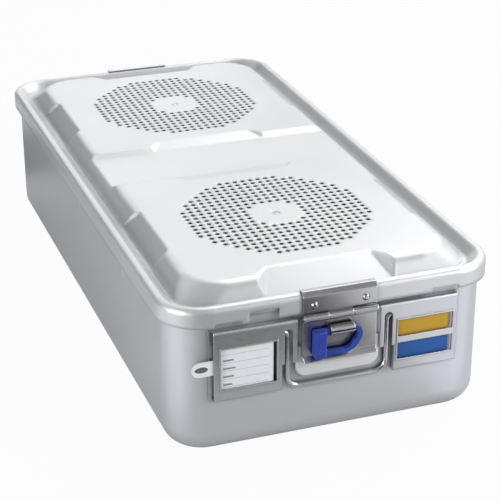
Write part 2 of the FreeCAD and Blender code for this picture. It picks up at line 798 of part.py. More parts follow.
def make_handle():
    """Wire bail that hangs in its ears and swings out on its bent ends."""
    y = front(handle_out())
    low = handle_bottom
    leg = handle_leg_x
    bend = handle_bend
    corner = handle_corner
    top = handle_pivot_z
    turn = math.sqrt(0.5)

    def at(x, z):
        return Vector(x, y, z)

    edges = [Part.makeLine(at(-handle_pin_reach, top), at(-leg - bend, top))]
    edges.append(Part.Arc(at(-leg - bend, top), at(-leg - bend * (1 - turn), top - bend * (1 - turn)),
                          at(-leg, top - bend)).toShape())
    edges.append(Part.makeLine(at(-leg, top - bend), at(-leg, low + corner)))
    edges.append(Part.Arc(at(-leg, low + corner), at(-leg + corner * (1 - turn), low + corner * (1 - turn)),
                          at(-leg + corner, low)).toShape())
    edges.append(Part.makeLine(at(-leg + corner, low), at(leg - corner, low)))
    edges.append(Part.Arc(at(leg - corner, low), at(leg - corner * (1 - turn), low + corner * (1 - turn)),
                          at(leg, low + corner)).toShape())
    edges.append(Part.makeLine(at(leg, low + corner), at(leg, top - bend)))
    edges.append(Part.Arc(at(leg, top - bend), at(leg + bend * (1 - turn), top - bend * (1 - turn)),
                          at(leg + bend, top)).toShape())
    edges.append(Part.makeLine(at(leg + bend, top), at(handle_pin_reach, top)))
    path = Part.Wire(edges)
    section = Part.Wire([Part.makeCircle(wire_radius, at(-handle_pin_reach, top), Vector(1, 0, 0))])
    return path.makePipeShell([section], True, True)


def pocket_floor():
    """Height at which the card and the lower tag rest in their holders."""
    return holder_bottom + holder_sheet + card_gap


def make_label_card():
    """Card behind the label window, with a rounded pull tab past the holder's open end."""
    near = holder_front - holder_sheet - card_gap - card_sheet
    far = holder_front - holder_sheet - card_gap
    outer = label_outer_x - card_end_gap
    card = block(-outer, -label_window_inner - card_short, near, far, pocket_floor(), window_top + card_lap)
    radius = card_tab_height / 2
    tab_foot = window_bottom + card_tab_up
    tab_x = -label_outer_x - card_tab_length + radius
    stem = block(tab_x, margin - outer, near, far, tab_foot, tab_foot + card_tab_height)
    end = rod_y(radius, tab_x, near, far, tab_foot + radius)
    return card.fuse([stem, end]).removeSplitter()


def make_tag(bottom, top):
    """Coloured tag in the tag holder's pocket, between two heights."""
    near = holder_front - holder_sheet - card_gap - card_sheet
    far = holder_front - holder_sheet - card_gap
    start = holder_inner_x + holder_sheet + card_gap
    return block(start, tag_window_outer - tag_short, near, far, bottom, top)


def make_filter_sheet():
    """Round filter sheet against the underside of a vented field."""
    top = underside - filter_seat_gap
    sheet = disc(filter_radius, top - filter_sheet, top)
    return sheet.cut(disc(filter_bore, top - filter_sheet - margin, top + margin))


def retainer_top():
    """Upper face of the retainer's plate."""
    return underside - retainer_rim


def make_retainer():
    """Round plate with an upturned rim and open windows, which holds the filter sheet up."""
    top = retainer_top()
    bottom = top - retainer_sheet
    rim_up = underside - filter_seat_gap
    plate = disc(retainer_radius, bottom, rim_up)
    plate = plate.cut(disc(retainer_radius - retainer_sheet, top, rim_up + margin))
    reach = retainer_radius - retainer_window_margin
    ring = (retainer_hub_radius + reach) / 2
    bands = [(retainer_hub_radius, ring - retainer_web / 2), (ring + retainer_web / 2, reach)]
    windows = []
    for inner, outer in bands:
        opening = disc(outer, bottom - margin, top + margin).cut(disc(inner, bottom - margin, top + margin))
        bars = []
        for index in range(retainer_windows):
            bar = Part.makeBox(outer, retainer_web, retainer_sheet + 2 * margin,
                               Vector(0, -retainer_web / 2, bottom - margin))
            bar.rotate(Vector(0, 0, 0), Vector(0, 0, 1), 360 * index / retainer_windows)
            bars.append(bar)
        windows.append(opening.cut(bars))
    bore = disc(retainer_bore, bottom - margin, top + margin)
    return plate.cut(windows + [bore])


def make_retainer_seal():
    """Flat rubber ring inside the retainer's rim, outside the filter sheet."""
    outer = retainer_radius - retainer_sheet - retainer_seal_gap
    low = retainer_top()
    high = underside - filter_seat_gap
    return disc(outer, low, high).cut(disc(outer - retainer_seal_width, low - margin, high + margin))


def make_knob():
    """Turning knob under the retainer, with a neck and a flange that hold it in the plate."""
    top = retainer_top()
    bottom = top - retainer_sheet
    grip_top = bottom - knob_gap
    grip = disc(knob_radius, grip_top - knob_height, grip_top)
    side_cuts = []
    for side in (-1, 1):
        centre = Vector(side * (knob_radius + knob_wing), 0, grip_top - knob_height - knob_wing)
        side_cuts.append(Part.makeCylinder(knob_radius, knob_height, centre))
    grip = grip.cut(side_cuts)
    neck = disc(retainer_bore - knob_neck_gap, grip_top, top + knob_gap)
    flange = disc(knob_flange, top + knob_gap, top + knob_gap + knob_flange_height)
    bore = disc(stud_radius + stud_bore_gap, grip_top - knob_height - margin, top + margin * 2)
    return grip.fuse([neck, flange]).cut(bore).removeSplitter()


def make_stud():
    """Stud for the retainer's knob: a collar under the lid, and a neck riveted flush in its top."""
    low = underside - stud_length
    profile = [(0, low), (stud_radius - stud_taper, low), (stud_radius, low + stud_taper)]
    collar = underside - stud_collar_height
    profile += [(stud_radius, collar), (stud_collar_radius, collar), (stud_collar_radius, underside)]
    profile += [(stud_neck_radius, underside), (stud_neck_radius, plateau_top - stud_sink)]
    profile += [(stud_head_radius, plateau_top), (0, plateau_top)]
    points = [Vector(x, 0, z) for x, z in profile]
    return Part.Face(Part.makePolygon(points + points[:1])).revolve(Vector(0, 0, 0), Vector(0, 0, 1), 360)


def make_parts():
    """Every named sub-part in its place."""
    leaf = make_leaf()
    leaf_rivets = make_leaf_rivets()
    pin = make_hinge_pin()
    flap = make_flap()
    catch = make_catch_plate()
    handle = make_handle()
    catch_seat = wall_out + seat_gap + catch_sheet
    holder_seat = wall_out + seat_gap + holder_sheet
    catch_rivets = make_wall_rivets(catch_rivet_places(), catch_seat)
    label_rivets = make_wall_rivets(holder_rivet_places(label_outer_x, -1), holder_seat)
    tag_rivets = make_wall_rivets(holder_rivet_places(tag_outer_x, 1), holder_seat)
    bracket = holder(bracket_outer_x, [], bracket_rivet_places())
    bracket_rivets = make_wall_rivets(bracket_rivet_places(), holder_seat)
    tags_meet = (tag_bar_bottom + tag_bar_top) / 2
    parts = {
        "base_tub": make_tub(),
        "lid": make_lid(),
        "lid_gasket": make_gasket(),
        "front_latch_leaf": leaf,
        "front_leaf_rivets": leaf_rivets,
        "front_hinge_pin": pin,
        "front_latch_flap": flap,
        "front_catch_plate": catch,
        "front_catch_rivets": catch_rivets,
        "front_handle": handle,
        "back_latch_leaf": at_back(leaf),
        "back_leaf_rivets": at_back(leaf_rivets),
        "back_hinge_pin": at_back(pin),
        "back_latch_flap": at_back(flap),
        "back_catch_plate": at_back(catch),
        "back_catch_rivets": at_back(catch_rivets),
        "back_handle": at_back(handle),
        "label_frame": make_label_frame(),
        "label_frame_rivets": label_rivets,
        "tag_frame": make_tag_frame(),
        "tag_frame_rivets": tag_rivets,
        "back_left_bracket": at_back(bracket),
        "back_left_bracket_rivets": at_back(bracket_rivets),
        "back_right_bracket": at_back(other_side(bracket)),
        "back_right_bracket_rivets": at_back(other_side(bracket_rivets)),
        "label_card": make_label_card(),
        "gold_tag": make_tag(tags_meet + tag_gap / 2, window_top + card_lap),
        "blue_tag": make_tag(pocket_floor(), tags_meet - tag_gap / 2),
        "security_seal": make_seal(),
    }
    for name, y in (("front", -field_y), ("back", field_y)):
        parts[name + "_filter_sheet"] = placed(make_filter_sheet(), 0, y)
        parts[name + "_filter_retainer"] = placed(make_retainer(), 0, y)
        parts[name + "_retainer_seal"] = placed(make_retainer_seal(), 0, y)
        parts[name + "_retainer_knob"] = placed(make_knob(), 0, y)
        parts[name + "_filter_stud"] = placed(make_stud(), 0, y)
    return parts


os.makedirs("parts", exist_ok=True)
for node, shape in make_parts().items():
    shape.exportStep("parts/" + node + ".step")
    print(node, len(shape.Solids), "solid(s)", round(shape.Volume / 1000, 2), "cm3", shape.isValid())
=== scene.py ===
"""Looks of the sterilization container: finishes, vent holes, label, studio and camera."""
import json
import math

import bmesh
import bpy
from mathutils import Matrix, Vector
from mathutils.bvhtree import BVHTree
from mathutils.geometry import barycentric_transform

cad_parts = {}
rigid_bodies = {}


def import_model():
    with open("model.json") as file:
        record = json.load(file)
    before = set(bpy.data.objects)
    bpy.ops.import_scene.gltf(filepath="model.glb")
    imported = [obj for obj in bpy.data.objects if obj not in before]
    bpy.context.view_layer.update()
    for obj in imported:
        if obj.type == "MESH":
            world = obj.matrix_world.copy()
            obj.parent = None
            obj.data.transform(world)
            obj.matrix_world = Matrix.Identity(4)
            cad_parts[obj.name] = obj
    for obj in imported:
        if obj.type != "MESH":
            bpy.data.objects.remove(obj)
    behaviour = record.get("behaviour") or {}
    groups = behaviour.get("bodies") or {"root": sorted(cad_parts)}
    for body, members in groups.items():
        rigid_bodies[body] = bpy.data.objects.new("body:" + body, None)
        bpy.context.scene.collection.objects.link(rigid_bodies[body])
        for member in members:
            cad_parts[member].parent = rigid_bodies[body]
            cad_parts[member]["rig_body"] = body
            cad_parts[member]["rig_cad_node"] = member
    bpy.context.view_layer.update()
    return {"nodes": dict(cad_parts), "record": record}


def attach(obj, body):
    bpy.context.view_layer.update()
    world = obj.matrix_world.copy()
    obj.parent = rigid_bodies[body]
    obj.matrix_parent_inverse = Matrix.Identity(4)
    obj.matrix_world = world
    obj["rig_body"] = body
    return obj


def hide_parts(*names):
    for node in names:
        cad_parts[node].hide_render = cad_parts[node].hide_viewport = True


# Lengths are in metres and the front end faces -Y.

# Lid and its vented fields, as the solids have them
LID_TOP = 0.1415
LID_SHEET = 0.0015
LID_HALF_WIDTH = 0.144
LID_HALF_LENGTH = 0.294
RIM_INSET = 0.015
FIELD_Y = 0.1484
HOLE_PITCH = 0.00734
HOLE_ROWS = 22
PANEL_HALF = HOLE_ROWS * HOLE_PITCH / 2

# Round vent holes; the reaches are counted in pitches from a field's centre
HOLE_RADIUS = 0.00215
HOLE_SIDES_PER_QUARTER = 5
FIELD_REACH = 11.2
BLANK_REACH = 3.2
STUD_HOLE_RADIUS = 0.00275
STUD_HOLE_SIDES_PER_QUARTER = 8
STUD_CELL_REACH = 1
WELD_GAP = 0.000001
OPENING_DEPTH = 3 * LID_SHEET

# What counts as an upright wall, and as the wall of a vent hole
UPRIGHT_LIMIT = 0.3
VENT_WALL_LOW = LID_TOP - 1.5 * LID_SHEET
VENT_WALL_HIGH = LID_TOP + LID_SHEET

# Places of the lid's finishes on its mesh
PLAIN_SHEET, VENTED_PANELS, RIM = range(3)

# Smooth shading handed over from the solid's own mesh
SAME_PLANE = 0.9995
LEAST_AGREEMENT = 0.3
PROBE_SHIFT = 0.02
PROBE_REACH = 0.00001

# Sockets of a Mix node that mixes colours
MIX_A, MIX_B, MIX_RESULT = 6, 7, 2

# Finishes: the span that noise fills, samples, and the painted shade that darkens gaps between
# pieces
NOISE_LOW, NOISE_HIGH = 0.25, 0.75
EDGE_SAMPLES = 6
GAP_SAMPLES = 8
SATIN_GAP_REACH = 0.005
VENTED_GAP_REACH = 0.0012
SATIN_GAP_SHADE = 0.25
STEEL_GAP_REACH = 0.0035
STEEL_GAP_SHADE = 0.08
STEEL_LINE_STRETCH = 0.03
STEEL_EDGE = 0.0013
FIBRE_STRETCH = 0.12
LID_COLOUR = (0.59, 0.60, 0.615)
# Near-black colour painted on the vent holes' walls as the shade inside the holes
VENT_WALL_SHADE = (0.012, 0.012, 0.014)

# Label card: ruled lines, dashes between them and a mark on the pull tab.
# The shares are parts of the step from one line to the next, counted downwards.
LINE_TOP = 0.0930
LINE_PITCH = 0.0072
LINE_SHARE = (0.0, 0.08)
LABEL_LEFT = -0.1005
LABEL_RIGHT = -0.0595
DASH_SHARE = (0.62, 0.84)
DASH_START = 0.002
DASH_END_SHORTEST = 0.008
DASH_END_LONGEST = 0.014
TAB_MARK_AT = (-0.1165, 0.0830)
TAB_MARK_SIZE = (0.0055, 0.0026)
PAPER_DARK = (0.66, 0.68, 0.71)
PAPER_LIGHT = (0.74, 0.75, 0.77)
LINE_COLOUR = (0.45, 0.50, 0.58)
DASH_COLOUR = (0.20, 0.23, 0.29)
TAB_MARK_COLOUR = (0.10, 0.11, 0.12)

# Camera, fitted to the lid's edges and to the square grid of holes; angles in radians
CAMERA_AT = (-0.4450, -1.3259, 0.6911)
CAMERA_YAW = 0.338
CAMERA_PITCH = 0.443
CAMERA_ROLL = -0.004
CAMERA_LENS_MM = 113.6
CAMERA_SENSOR_MM = 36
CAMERA_SHIFT = (0.0156, 0.0239)

# Surroundings and floor
SKY_LEVEL = 0.3
FLOOR_HALF = 8
FLOOR_COLOUR = (0.52, 0.52, 0.52)
FLOOR_GLOW = 0.96
FLOOR_MIRRORED_GLOW = 0.10

# Soft lamps: name, place, point faced, side, watts
LAMPS = (
    ("overhead", (1.2, 0.8, 1.8), (0, 0, 0.1), 1.5, 28),
    ("key", (1.5, -1.4, 0.9), (0, -0.1, 0.05), 1.0, 33),
    ("back", (0.2, 2.2, 1.0), (0, 0.1, 0.1), 1.2, 3),
    ("fill", (-1.35, -0.72, 0.32), (-0.1, -0.2, 0.05), 0.6, 13),
)

# Cards that only reflections show: name, place, point faced, width and height, grey
LEFT_GREY, FRONT_GREY, TOP_GREY = 0.12, 0.62, 0.5
FLAG_GREY = 0.05
REFLECTOR_GREY = 0.95
UNIT_HALF = 0.5
CARD_BLUENESS = 1.05
CARD_ROUGHNESS = 0.9
CARDS = (
    ("left_card", (-1.5, 1.7, 0.92), (0, 0, 0.3), (2.6, 1.2), LEFT_GREY),
    ("back_sweep", (0.6, 1.6, 0.002), (0.6, 1.6, 1), (2.0, 2.2), REFLECTOR_GREY),
    ("front_card", (0.1, -2.0, 1.5), (0, -0.2, 0.1), (4.0, 1.8), FRONT_GREY),
    ("top_card", (0.1, -0.4, 2.6), (0.1, -0.4, 0), (3.0, 2.4), TOP_GREY),
    ("front_flag", (-0.08, -0.68, 0.002), (-0.08, -0.68, 1), (0.36, 0.50), FLAG_GREY),
    ("upright_flag", (-0.17, -0.95, 0.22), (-0.17, 0, 0.22), (0.70, 0.44), FLAG_GREY),
    ("front_reflector", (0.29, -0.53, 0.002), (0.29, -0.53, 1), (0.36, 0.44), REFLECTOR_GREY),
    ("far_flag", (-0.28, 0.60, 0.002), (-0.28, 0.60, 1), (0.40, 0.50), FLAG_GREY),
    ("corner_reflector", (-0.34, -0.22, 0.002), (-0.34, -0.22, 1), (0.32, 0.24), REFLECTOR_GREY),
)


def material(name):
    """New material with one Principled shader."""
    made = bpy.data.materials.new(name)
    made.use_nodes = True
    tree = made.node_tree
    tree.nodes.clear()
    out = tree.nodes.new("ShaderNodeOutputMaterial")
    shader = tree.nodes.new("ShaderNodeBsdfPrincipled")
    tree.links.new(shader.outputs["BSDF"], out.inputs["Surface"])
    return made, tree, shader


def coordinates(tree, scale):
    """The piece's own coordinates in metres, stretched by a scale for each axis."""
    source = tree.nodes.new("ShaderNodeTexCoord")
    mapping = tree.nodes.new("ShaderNodeMapping")
    mapping.inputs["Scale"].default_value = scale
    tree.links.new(source.outputs["Object"], mapping.inputs["Vector"])
    return mapping.outputs["Vector"]


def noise(tree, scale, detail=3.0, stretch=(1, 1, 1)):
    """Noise with a given number of features to the metre."""
    node = tree.nodes.new("ShaderNodeTexNoise")
    node.inputs["Scale"].default_value = scale
    node.inputs["Detail"].default_value = detail
    tree.links.new(coordinates(tree, stretch), node.inputs["Vector"])
    return node.outputs["Fac"]


def ranged(tree, value, low, high):
    """Maps the usual span of noise to a range."""
    node = tree.nodes.new("ShaderNodeMapRange")
    node.inputs["From Min"].default_value = NOISE_LOW
    node.inputs["From Max"].default_value = NOISE_HIGH
    node.inputs["To Min"].default_value = low
    node.inputs["To Max"].default_value = high
    tree.links.new(value, node.inputs["Value"])
    return node.outputs["Result"]


def mixed(tree, factor, first, second):
    """Colour between two colours or colour sockets."""
    node = tree.nodes.new("ShaderNodeMix")
    node.data_type = "RGBA"
    tree.links.new(factor, node.inputs["Factor"])
    for index, colour in ((MIX_A, first), (MIX_B, second)):
        if isinstance(colour, bpy.types.NodeSocket):
            tree.links.new(colour, node.inputs[index])
        else:
            node.inputs[index].default_value = (*colour, 1)
    return node.outputs[MIX_RESULT]


def arithmetic(tree, operation, first, second=0.0):
    """Math node on two values or sockets."""
    node = tree.nodes.new("ShaderNodeMath")
    node.operation = operation
    for index, value in enumerate((first, second)):
        if isinstance(value, bpy.types.NodeSocket):
            tree.links.new(value, node.inputs[index])
        else:
            node.inputs[index].default_value = value
    return node.outputs["Value"]


def within(tree, value, low, high):
    """One where the value lies between two limits, zero elsewhere."""
    above = arithmetic(tree, "GREATER_THAN", value, low)
    below = arithmetic(tree, "LESS_THAN", value, high)
    return arithmetic(tree, "MULTIPLY", above, below)


def tinted(colour, factor):
    """Colour made lighter or darker by a factor."""
    return tuple(min(1.0, channel * factor) for channel in colour)


def patchy(tree, pattern, first, second):
    """Tone that drifts between two colours along a pattern of noise."""
    return mixed(tree, ranged(tree, pattern, 0.0, 1.0), first, second)


def roughen(tree, shader, pattern, low, high):
    """Roughness that drifts between two values along a pattern of noise."""
    tree.links.new(ranged(tree, pattern, low, high), shader.inputs["Roughness"])


def relief(tree, shader, height, strength, depth, edge):
    """Fine relief on a normal that rounds the piece's edges by a radius."""
    edges = tree.nodes.new("ShaderNodeBevel")
    edges.samples = EDGE_SAMPLES
    edges.inputs["Radius"].default_value = edge
    bump = tree.nodes.new("ShaderNodeBump")
    bump.inputs["Strength"].default_value = strength
    bump.inputs["Distance"].default_value = depth
    tree.links.new(height, bump.inputs["Height"])
    tree.links.new(edges.outputs["Normal"], bump.inputs["Normal"])
    tree.links.new(bump.outputs["Normal"], shader.inputs["Normal"])


def vent_walls(tree):
    """One on the upright walls of the vent holes, zero elsewhere; these walls get painted shade."""
    surface = tree.nodes.new("ShaderNodeNewGeometry")
    normal = tree.nodes.new("ShaderNodeSeparateXYZ")
    tree.links.new(surface.outputs["True Normal"], normal.inputs["Vector"])
    place = tree.nodes.new("ShaderNodeSeparateXYZ")
    tree.links.new(coordinates(tree, (1, 1, 1)), place.inputs["Vector"])
    upright = within(tree, normal.outputs["Z"], -UPRIGHT_LIMIT, UPRIGHT_LIMIT)
    in_sheet = within(tree, place.outputs["Z"], VENT_WALL_LOW, VENT_WALL_HIGH)
    return arithmetic(tree, "MULTIPLY", upright, in_sheet)


def painted_gap_shade(tree, tone, reach, least):
    """Painted shade: darkens a tone in gaps and corners narrower than a reach, down to a least
    share of it.
    """
    gaps = tree.nodes.new("ShaderNodeAmbientOcclusion")
    gaps.samples = GAP_SAMPLES
    gaps.inputs["Distance"].default_value = reach
    share = tree.nodes.new("ShaderNodeMapRange")
    share.inputs["To Min"].default_value = least
    tree.links.new(gaps.outputs["AO"], share.inputs["Value"])
    darker = tree.nodes.new("ShaderNodeMix")
    darker.data_type = "RGBA"
    darker.blend_type = "MULTIPLY"
    darker.inputs["Factor"].default_value = 1.0
    tree.links.new(tone, darker.inputs[MIX_A])
    tree.links.new(share.outputs["Result"], darker.inputs[MIX_B])
    return darker.outputs[MIX_RESULT]


def satin_aluminium(name, colour, metallic=0.6, roughness=0.38, edge=0.0015, vented=False):
    """Anodised sheet: an even milky sheen with faint cloudy patches and a fine blasted grain, with
    painted shade in gaps and corners and, when vented, on the vent holes' walls.
    """
    made, tree, shader = material(name)
    tone = patchy(tree, noise(tree, 9.0), tinted(colour, 0.965), tinted(colour, 1.03))
    if vented:
        # Painted shade: the vent holes' walls are coloured near black
        tone = mixed(tree, vent_walls(tree), tone, VENT_WALL_SHADE)
    reach = VENTED_GAP_REACH if vented else SATIN_GAP_REACH
    # Painted shade: the tone darkens in gaps and corners
    tree.links.new(painted_gap_shade(tree, tone, reach, SATIN_GAP_SHADE), shader.inputs["Base Color"])
    shader.inputs["Metallic"].default_value = metallic
    grain = noise(tree, 1400.0, detail=2.0)
    roughen(tree, shader, grain, roughness - 0.04, roughness + 0.05)
    relief(tree, shader, grain, strength=0.06, depth=0.0001, edge=edge)
    return made


def brushed_steel(name, colour, metallic, roughness, along=0):
    """Sheet or wire with fine drawn lines along one axis, and painted shade in gaps and corners."""
    made, tree, shader = material(name)
    stretch = tuple(STEEL_LINE_STRETCH if axis == along else 1.0 for axis in range(3))
    lines = noise(tree, 3000.0, stretch=stretch)
    tone = patchy(tree, lines, tinted(colour, 0.95), tinted(colour, 1.03))
    # Painted shade: the tone darkens in gaps and corners
    tone = painted_gap_shade(tree, tone, STEEL_GAP_REACH, STEEL_GAP_SHADE)
    tree.links.new(tone, shader.inputs["Base Color"])
    shader.inputs["Metallic"].default_value = metallic
    roughen(tree, shader, lines, roughness - 0.04, roughness + 0.05)
    relief(tree, shader, lines, strength=0.04, depth=0.00005, edge=STEEL_EDGE)
    return made


def moulded_plastic(name, colour, roughness, coat):
    """Moulded plastic with a faint orange-peel skin."""
    made, tree, shader = material(name)
    tone = patchy(tree, noise(tree, 60.0), tinted(colour, 0.86), colour)
    tree.links.new(tone, shader.inputs["Base Color"])
    shader.inputs["Coat Weight"].default_value = coat
    shader.inputs["Coat Roughness"].default_value = 0.18
    skin = noise(tree, 700.0, detail=2.0)
    roughen(tree, shader, skin, roughness - 0.05, roughness + 0.08)
    relief(tree, shader, skin, strength=0.08, depth=0.00012, edge=0.0008)
    return made


def soft_rubber(name, colour):
    """Matt silicone rubber with a dusty skin."""
    made, tree, shader = material(name)
    tone = patchy(tree, noise(tree, 220.0, detail=4.0), colour, tinted(colour, 1.12))
    tree.links.new(tone, shader.inputs["Base Color"])
    skin = noise(tree, 900.0, detail=2.0)
    roughen(tree, shader, skin, 0.62, 0.78)
    relief(tree, shader, skin, strength=0.15, depth=0.0001, edge=0.0006)
    return made


def fleece(name, colour):
    """Non-woven filter sheet: tangled fibres in two directions."""
    made, tree, shader = material(name)
    lengthwise = noise(tree, 900.0, detail=5.0, stretch=(1.0, FIBRE_STRETCH, 1.0))
    crosswise = noise(tree, 900.0, detail=5.0, stretch=(FIBRE_STRETCH, 1.0, 1.0))
    fibres = arithmetic(tree, "MAXIMUM", lengthwise, crosswise)
    tone = patchy(tree, fibres, colour, tinted(colour, 1.5))
    tree.links.new(tone, shader.inputs["Base Color"])
    roughen(tree, shader, fibres, 0.8, 0.95)
    shader.inputs["Sheen Weight"].default_value = 0.2
    relief(tree, shader, fibres, strength=0.4, depth=0.0002, edge=0.0003)
    return made


def ellipse(tree, x, z, centre, size):
    """One inside an upright ellipse given by its half axes, zero outside."""
    squares = []
    for value, middle, half in zip((x, z), centre, size):
        share = arithmetic(tree, "DIVIDE", arithmetic(tree, "SUBTRACT", value, middle), half)
        squares.append(arithmetic(tree, "MULTIPLY", share, share))
    return arithmetic(tree, "LESS_THAN", arithmetic(tree, "ADD", *squares), 1.0)


def printed_card(name):
    """White card with ruled lines, plain dashes between them and a dark mark on its pull tab."""
    made, tree, shader = material(name)
    axes = tree.nodes.new("ShaderNodeSeparateXYZ")
    tree.links.new(coordinates(tree, (1, 1, 1)), axes.inputs["Vector"])
    x = axes.outputs["X"]
    z = axes.outputs["Z"]
    below_top = arithmetic(tree, "SUBTRACT", LINE_TOP, z)
    step = arithmetic(tree, "FRACT", arithmetic(tree, "DIVIDE", below_top, LINE_PITCH))
    inside = within(tree, x, LABEL_LEFT, LABEL_RIGHT)
    ruled = arithmetic(tree, "MULTIPLY", within(tree, step, *LINE_SHARE), inside)

    row_noise = noise(tree, 170.0, detail=0.0, stretch=(0.0, 0.0, 1.0))
    dash_end = ranged(tree, row_noise, DASH_END_SHORTEST, DASH_END_LONGEST)
    along = arithmetic(tree, "SUBTRACT", x, LABEL_LEFT)
    dash = within(tree, along, DASH_START, DASH_END_LONGEST)
    for limit in (within(tree, step, *DASH_SHARE),
                  arithmetic(tree, "LESS_THAN", along, dash_end),
                  arithmetic(tree, "LESS_THAN", z, LINE_TOP)):
        dash = arithmetic(tree, "MULTIPLY", dash, limit)

    mottle = noise(tree, 300.0)
    tone = mixed(tree, mottle, PAPER_DARK, PAPER_LIGHT)
    tone = mixed(tree, ruled, tone, LINE_COLOUR)
    tone = mixed(tree, dash, tone, DASH_COLOUR)
    mark = ellipse(tree, x, z, TAB_MARK_AT, TAB_MARK_SIZE)
    tree.links.new(mixed(tree, mark, tone, TAB_MARK_COLOUR), shader.inputs["Base Color"])
    roughen(tree, shader, mottle, 0.35, 0.5)
    relief(tree, shader, mottle, strength=0.05, depth=0.0001, edge=0.0003)
    return made


def make_materials():
    """One finish for each slot of the record, and two more for the lid's rim and fields."""
    rows = (
        (satin_aluminium, "tub_aluminium", dict(colour=(0.56, 0.575, 0.60))),
        (satin_aluminium, "lid_aluminium", dict(colour=LID_COLOUR, edge=0.0045)),
        (satin_aluminium, "lid_rim", dict(colour=LID_COLOUR, edge=0.0012)),
        (satin_aluminium, "lid_vents", dict(colour=LID_COLOUR, edge=0.001, vented=True)),
        (satin_aluminium, "retainer_aluminium",
         dict(colour=(0.45, 0.46, 0.48), metallic=0.7, roughness=0.35)),
        (satin_aluminium, "catch_steel",
         dict(colour=(0.68, 0.69, 0.70), metallic=0.4, roughness=0.35, edge=0.0008)),
        (brushed_steel, "latch_steel",
         dict(colour=(0.50, 0.50, 0.505), metallic=1.0, roughness=0.22)),
        (brushed_steel, "holder_steel",
         dict(colour=(0.56, 0.57, 0.585), metallic=0.9, roughness=0.30)),
        (brushed_steel, "rivet_steel",
         dict(colour=(0.50, 0.50, 0.51), metallic=1.0, roughness=0.18, along=1)),
        (brushed_steel, "handle_wire",
         dict(colour=(0.62, 0.62, 0.63), metallic=1.0, roughness=0.18)),
        (brushed_steel, "gold_anodised",
         dict(colour=(0.48, 0.29, 0.025), metallic=0.4, roughness=0.42)),
        (brushed_steel, "blue_anodised",
         dict(colour=(0.014, 0.09, 0.32), metallic=0.4, roughness=0.42)),
        (moulded_plastic, "seal_plastic",
         dict(colour=(0.016, 0.045, 0.34), roughness=0.36, coat=0.12)),
        (moulded_plastic, "knob_plastic",
         dict(colour=(0.04, 0.04, 0.045), roughness=0.45, coat=0.0)),
        (soft_rubber, "gasket_rubber", dict(colour=(0.42, 0.42, 0.40))),
        (fleece, "filter_paper", dict(colour=(0.035, 0.037, 0.042))),
        (printed_card, "card_plastic", {}),
    )
    return {name: maker(name, **values) for maker, name, values in rows}


def cell_places():
    """Places of the cells along one side of a field, in pitches from its centre."""
    return [index + 0.5 - HOLE_ROWS / 2 for index in range(HOLE_ROWS)]


def quarter_turn(x, y, turns):
    """Point turned round the origin by quarter turns."""
    for _ in range(turns):
        x, y = -y, x
    return x, y


def cell_quarter(radius, half, sides):
    """Pairs of points on the hole and on the edge, for a quarter of a cell from -45 degrees."""
    points = []
    for index in range(sides + 1):
        angle = math.radians(-45 + 90 * index / sides)
        on_hole = (radius * math.cos(angle), radius * math.sin(angle))
        on_edge = (half, half * math.tan(angle))
        points.append((on_hole, on_edge))
    return points


def add_sheet_faces(mesh, x, y, corners):
    """Face of the sheet's top and of its underside, with four corners round a place."""
    upper = [mesh.verts.new((x + dx, y + dy, LID_TOP)) for dx, dy in corners]
    lower = [mesh.verts.new((x + dx, y + dy, LID_TOP - LID_SHEET)) for dx, dy in corners]
    mesh.faces.new(upper)
    mesh.faces.new(lower[::-1])
    return upper, lower


def add_holed_cell(mesh, x, y, radius, half, sides):
    """Square cell of the sheet with a round hole: its top, its underside and the hole's wall."""
    points = cell_quarter(radius, half, sides)
    for turns in range(4):
        for (hole_a, edge_a), (hole_b, edge_b) in zip(points, points[1:]):
            corners = [quarter_turn(*point, turns) for point in (hole_a, edge_a, edge_b, hole_b)]
            upper, lower = add_sheet_faces(mesh, x, y, corners)
            mesh.faces.new((upper[0], upper[3], lower[3], lower[0]))


def add_plain_cell(mesh, x, y):
    """Square cell of the sheet with no hole."""
    half = HOLE_PITCH / 2
    add_sheet_faces(mesh, x, y, ((-half, -half), (half, -half), (half, half), (-half, half)))


def vented_panel(centre_y):
    """Square panel of the lid's flat top with its round vent holes."""
    mesh = bmesh.new()
    for column in cell_places():
        for row in cell_places():
            x = column * HOLE_PITCH
            y = centre_y + row * HOLE_PITCH
            if BLANK_REACH < math.hypot(column, row) < FIELD_REACH:
                add_holed_cell(mesh, x, y, HOLE_RADIUS, HOLE_PITCH / 2, HOLE_SIDES_PER_QUARTER)
            elif max(abs(column), abs(row)) > STUD_CELL_REACH:
                add_plain_cell(mesh, x, y)
    stud_half = STUD_CELL_REACH * HOLE_PITCH
    add_holed_cell(mesh, 0, centre_y, STUD_HOLE_RADIUS, stud_half, STUD_HOLE_SIDES_PER_QUARTER)
    bmesh.ops.remove_doubles(mesh, verts=mesh.verts, dist=WELD_GAP)
    return object_from(mesh, "vented_panel")


def object_from(mesh, name):
    """Linked object made from a bmesh."""
    data = bpy.data.meshes.new(name)
    mesh.to_mesh(data)
    mesh.free()
    made = bpy.data.objects.new(name, data)
    bpy.context.scene.collection.objects.link(made)
    return made


def opening_block(centre_y):
    """Block that cuts a field's square out of the lid's sheet."""
    side = 2 * PANEL_HALF
    place = Matrix.Translation((0, centre_y, LID_TOP - LID_SHEET / 2))
    size = Matrix.Diagonal((side, side, OPENING_DEPTH, 1))
    mesh = bmesh.new()
    bmesh.ops.create_cube(mesh, size=1.0, matrix=place @ size)
    return object_from(mesh, "opening_block")


def apply_modifiers(piece):
    """Bakes a piece's modifiers into its mesh."""
    graph = bpy.context.evaluated_depsgraph_get()
    data = bpy.data.meshes.new_from_object(piece.evaluated_get(graph))
    piece.modifiers.clear()
    piece.data = data


